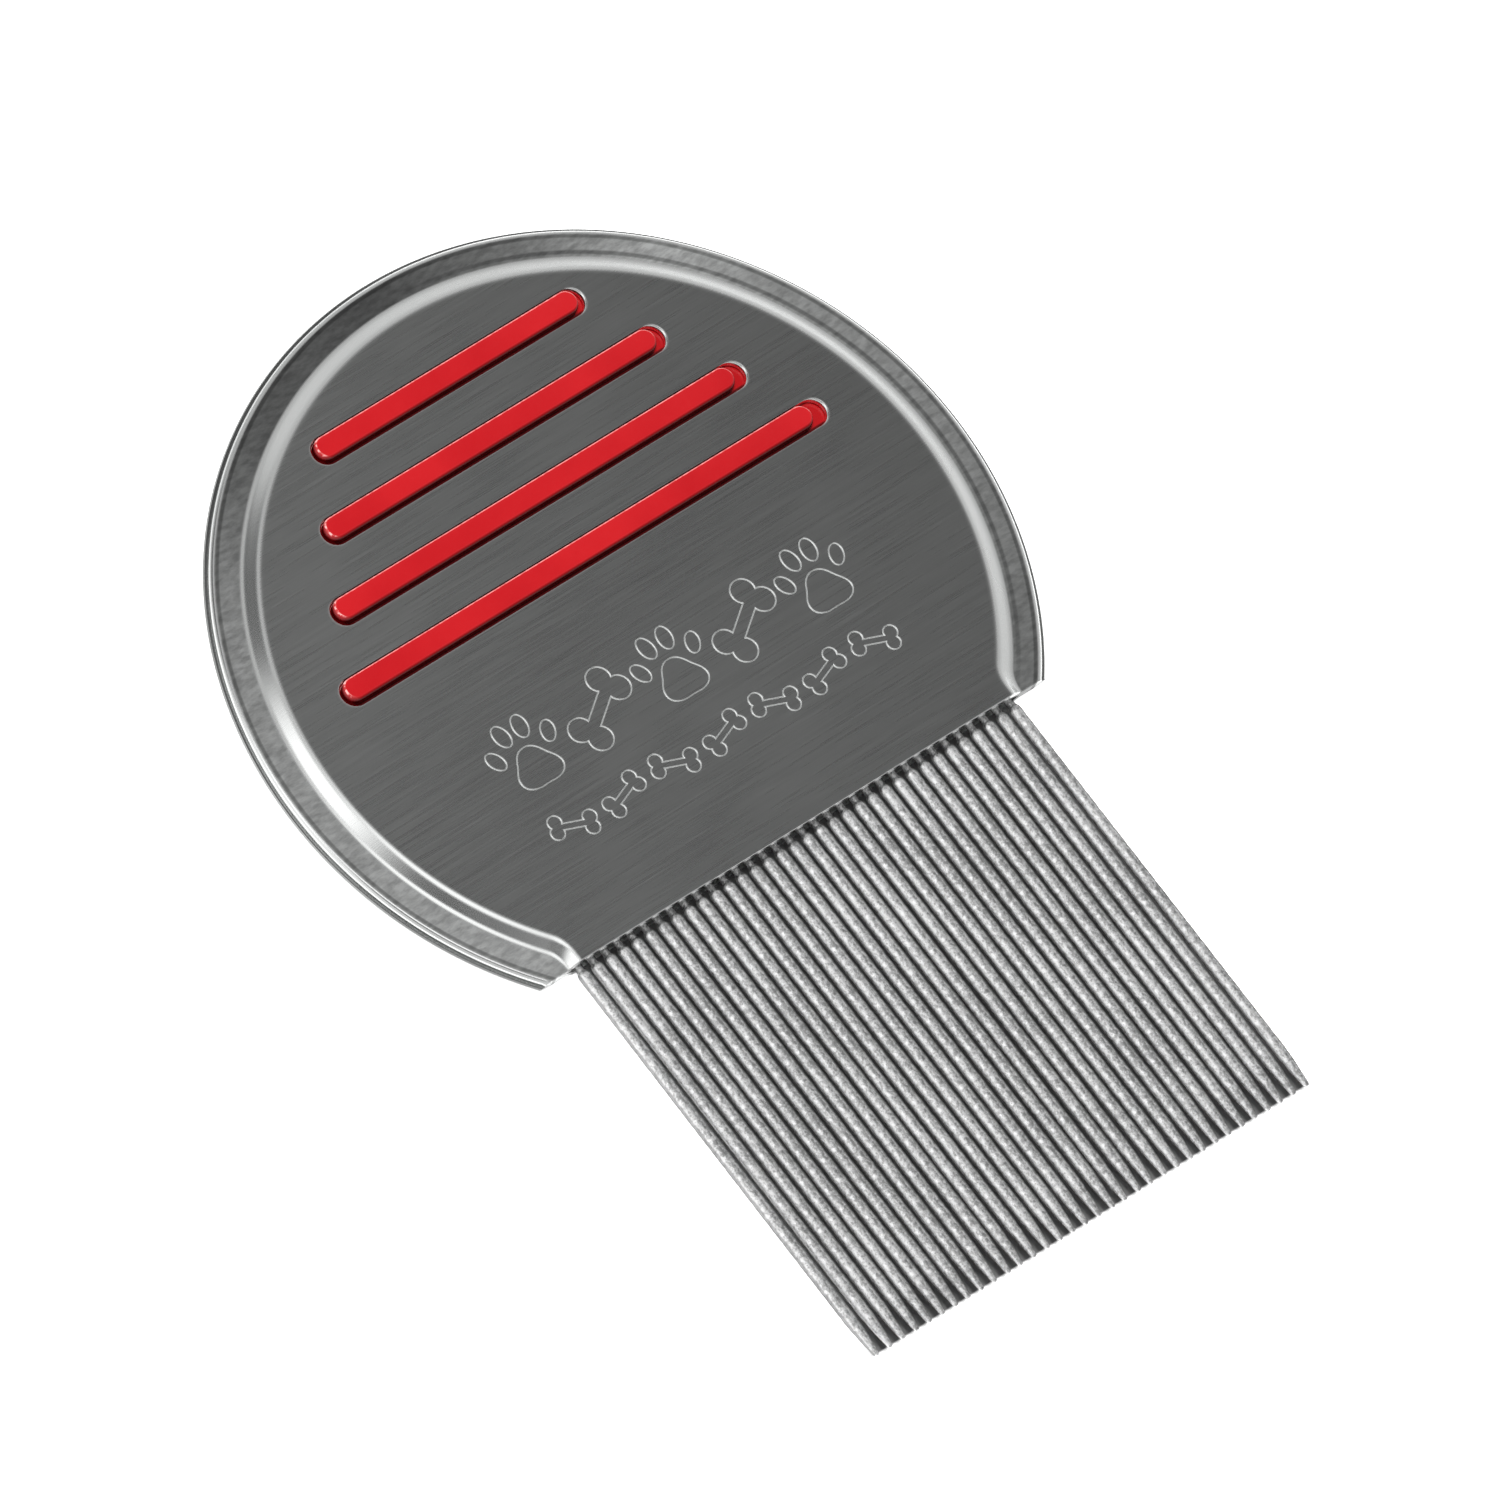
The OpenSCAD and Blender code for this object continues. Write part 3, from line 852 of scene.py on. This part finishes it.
# ------------------------------------------------------------------ the object
steel_front = shell_material("front_sheet_steel", 0.37, 0.05)
steel_back = shell_material("back_sheet_steel", 4.11, 0.10)
wire = wire_material("tooth_wire_steel")
plastic = plastic_material("red_grip_plastic")
bar_steel = bar_material("bar_steel")


def stand_in(obj, material, node):
    """Gives obj its material and lets it take the place of a CAD node."""
    obj.data.materials.append(material)
    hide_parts(node)
    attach(obj, "root")


stand_in(shell(half_x("front_shell"), True).make("front_shell_sheet", 28, z0=SEAM_Z),
         steel_front, "front_shell")
stand_in(shell(half_x("back_shell"), False).make("back_shell_sheet", 28, mirror_z=True, z0=SEAM_Z),
         steel_back, "back_shell")
stand_in(grip_insert().make("grip_insert_moulding", 40, z0=SEAM_Z),
         plastic, "grip_insert")
rng = random.Random(41)
for k in range(1, TEETH + 1):
    stand_in(tooth(k, rng).make("tooth_wire_%02d" % k, 50, z0=SEAM_Z),
             wire, "tooth_%02d" % k)

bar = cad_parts["tooth_bar"]
bar.data.materials.clear()
bar.data.materials.append(bar_steel)


# ------------------------------------------------------------ stage and lights
def floor():
    """A wide sheet of pale paper just below the comb, with a painted shadow under the teeth."""
    b = Build()
    n = 48
    rings = []
    for r in (0.1, 60, 150, 400, 1200, 4000):
        turns = [2 * math.pi * i / n for i in range(n)]
        rings.append(b.add([(r * math.cos(a), r * math.sin(a), 0) for a in turns]))
    b.faces.append(tuple(rings[0]))
    for a, c in zip(rings[:-1], rings[1:]):
        b.strip(a, c, closed=True)
    obj = b.make("floor", 30, z0=-0.02)
    m, nt, bsdf = new_material("floor_white")
    g = Nodes(nt)
    x, y, _ = g.axes(g.coords())
    cloud = g.noise(g.coords(), 6.0, 2.0, 0.5)
    # painted shadow: darker paper under the teeth, darkest toward the tips
    under = g.product(g.span(x, -0.0214, -0.0211), g.span(x, 0.0226, 0.0223),
                      g.span(y, -0.0592, -0.0589), g.span(y, -0.0190, -0.0200))
    paper = g.mix(cloud, (0.93, 0.93, 0.93, 1), (0.96, 0.96, 0.96, 1))
    shade = g.mix(g.span(y, -0.0545, -0.0575), (0.22, 0.22, 0.22, 1), (0.13, 0.13, 0.13, 1))
    g.put(bsdf.inputs["Base Color"], g.mix(under, paper, shade))
    bsdf.inputs["Roughness"].default_value = 0.9
    # the paper glows white to the eye right up to the comb; the painted shadow under the teeth does
    # not glow
    path = g.node("ShaderNodeLightPath")
    seen = g.math("ADD", path.outputs["Is Camera Ray"],
                  g.math("MULTIPLY", path.outputs["Is Glossy Ray"], PAPER_IN_METAL))
    g.put(bsdf.inputs["Emission Strength"], g.product(seen, g.inverse(under)))
    bsdf.inputs["Emission Color"].default_value = (1, 1, 1, 1)
    obj.data.materials.append(m)


def lobe(w, vec, towards, inner, outer):
    """1 within inner degrees of a direction, falling smoothly to 0 at outer degrees."""
    n = w.node("ShaderNodeVectorMath", operation="DOT_PRODUCT")
    w.put(n.inputs[0], vec)
    n.inputs[1].default_value = Vector(towards).normalized()
    m = w.node("ShaderNodeMapRange", interpolation_type="SMOOTHSTEP")
    w.put(m.inputs["Value"], n.outputs["Value"])
    m.inputs["From Min"].default_value = math.cos(math.radians(outer))
    m.inputs["From Max"].default_value = math.cos(math.radians(inner))
    return m.outputs[0]


def studio():
    """A light tent with dark openings and bright panels that only the metal sees."""
    world = bpy.data.worlds.new("studio")
    bpy.context.scene.world = world
    world.use_nodes = True
    nt = world.node_tree
    nt.nodes.clear()
    out = nt.nodes.new("ShaderNodeOutputWorld")
    bg = nt.nodes.new("ShaderNodeBackground")
    nt.links.new(bg.outputs[0], out.inputs[0])
    w = Nodes(nt)
    vec = w.node("ShaderNodeTexCoord").outputs["Generated"]
    level = TENT
    for towards, inner, outer, loss in DARK_OPENINGS:
        level = w.product(level, w.inverse(w.product(lobe(w, vec, towards, inner, outer), loss)))
    for towards, inner, outer, gain in BRIGHT_PANELS:
        level = w.math("ADD", level, w.product(lobe(w, vec, towards, inner, outer), gain))
    path = w.node("ShaderNodeLightPath")
    plain = w.blend(path.outputs["Is Diffuse Ray"], 1.0, AMBIENT)
    w.put(bg.inputs["Strength"], w.blend(path.outputs["Is Glossy Ray"], plain, level))
    world.cycles.sampling_method = "NONE"


def softbox():
    data = bpy.data.lights.new("overhead_softbox", "AREA")
    data.shape = "DISK"
    data.size = 0.40
    data.energy = 13.5
    lamp = bpy.data.objects.new("overhead_softbox", data)
    aim = Vector((-0.10, 0.16, 0.98)).normalized()
    lamp.location = aim * 1.0
    lamp.rotation_mode = "QUATERNION"
    lamp.rotation_quaternion = aim.to_track_quat("Z", "Y")
    lamp.visible_glossy = False
    bpy.context.scene.collection.objects.link(lamp)


TENT = 0.85              # brightness of the tent in reflections
AMBIENT = 0.28           # light of the tent on matt surfaces
PAPER_IN_METAL = 0.12    # share of the paper's own light that the metal mirrors
# direction, degrees of the full and of the fading part, loss or gain
DARK_OPENINGS = (((0.365, 0.176, 0.914), 5, 19, 0.75),
                 ((0.445, 0.215, 0.869), 10, 55, 0.33),
                 ((-0.27, 0.70, 0.66), 7, 20, 0.97),
                 ((-0.50, -0.08, 0.86), 4, 15, 0.95),
                 ((-0.36, -0.36, 0.86), 3, 13, 0.88),
                 ((0.445, -0.60, 0.62), 12, 34, 0.85))
BRIGHT_PANELS = (((-0.10, -0.02, 0.99), 5, 18, 1.0),
                 ((-0.53, 0.24, 0.82), 5, 17, 1.2),
                 ((-0.88, 0.22, 0.34), 10, 34, 0.5))
floor()
studio()
softbox()

# --------------------------------------------------------------------- camera
AZ, EL, ROLL = math.radians(-64.2), math.radians(60.39), math.radians(-29.38)
PX_PER_MM = 13.104       # scale of the 1500 pixel wide view
SHIFT_X, SHIFT_Y = -9.797, 9.601        # the row's origin from the middle of the view, in mm
DIST = 2500.0            # a long lens, so that the view is nearly parallel
VIEW_PX, SENSOR = 1500, 36.0
back_dir = Vector((math.sin(AZ) * math.cos(EL), -math.cos(AZ) * math.cos(EL), math.sin(EL)))
right = Vector((math.cos(AZ), math.sin(AZ), 0))
up = back_dir.cross(right)
cr, sr = math.cos(ROLL), math.sin(ROLL)
cam_x = cr * right - sr * up
cam_y = sr * right + cr * up
cam_data = bpy.data.cameras.new("photo_camera")
cam_data.sensor_width = SENSOR
cam_data.lens = PX_PER_MM * DIST / VIEW_PX * SENSOR
cam_data.clip_start, cam_data.clip_end = 0.1, 20.0
cam = bpy.data.objects.new("photo_camera", cam_data)
turn = Matrix((cam_x, cam_y, back_dir)).transposed()
stand = (back_dir * DIST - cam_x * SHIFT_X - cam_y * SHIFT_Y) * MM
cam.matrix_world = Matrix.Translation(stand) @ turn.to_4x4()
bpy.context.scene.collection.objects.link(cam)
bpy.context.scene.camera = cam
bpy.context.scene.view_settings.view_transform = "Standard"
